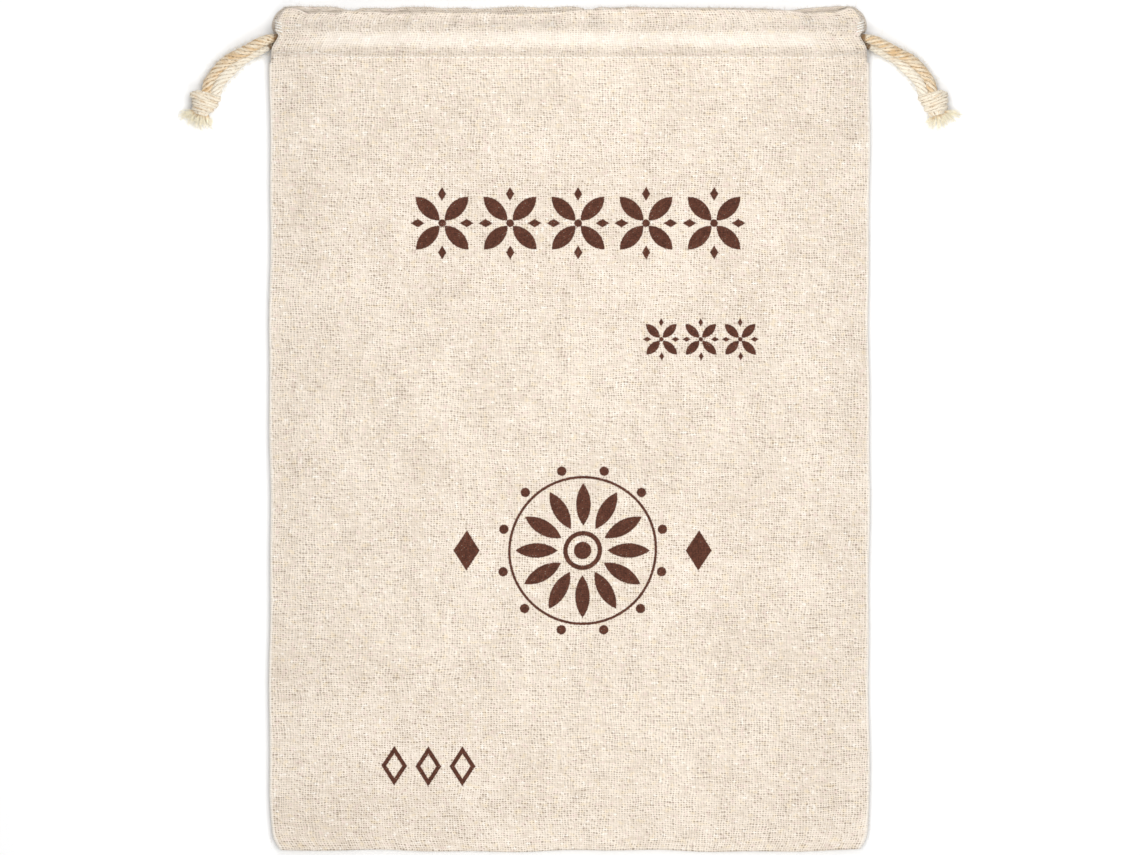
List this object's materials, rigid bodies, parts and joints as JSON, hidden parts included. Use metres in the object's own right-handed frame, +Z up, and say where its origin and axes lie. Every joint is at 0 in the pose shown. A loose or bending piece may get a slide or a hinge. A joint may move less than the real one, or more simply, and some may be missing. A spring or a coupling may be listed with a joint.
{
  "type": "linen bread bag",
  "caption": "Flat drawstring bag of linen and cotton cloth for bread, lying closed-side down on its back, with stitched channels at the mouth and knotted cotton cords",
  "frame": {"origin": "centre of the bag's outline, on the surface under the back panel", "axes": "+X to the bag's right, +Y towards its mouth, +Z up out of the front panel"},
  "size_m": [0.3922, 0.4231, 0.0192],
  "materials": {
    "linen_cloth": "plain weave of linen and cotton, matt, with slubs",
    "cotton_cord": "twisted cotton cord, matt and slightly fuzzy"
  },
  "bodies": {
    "root": {"front_panel": "linen_cloth", "back_panel": "linen_cloth", "drawcord_left": "cotton_cord", "drawcord_right": "cotton_cord", "strand_left_front": "cotton_cord", "strand_left_back": "cotton_cord", "strand_right_front": "cotton_cord", "strand_right_back": "cotton_cord", "knot_left": "cotton_cord", "knot_right": "cotton_cord", "frayed_end_left": "cotton_cord", "frayed_end_right": "cotton_cord"}
  },
  "joints": []
}
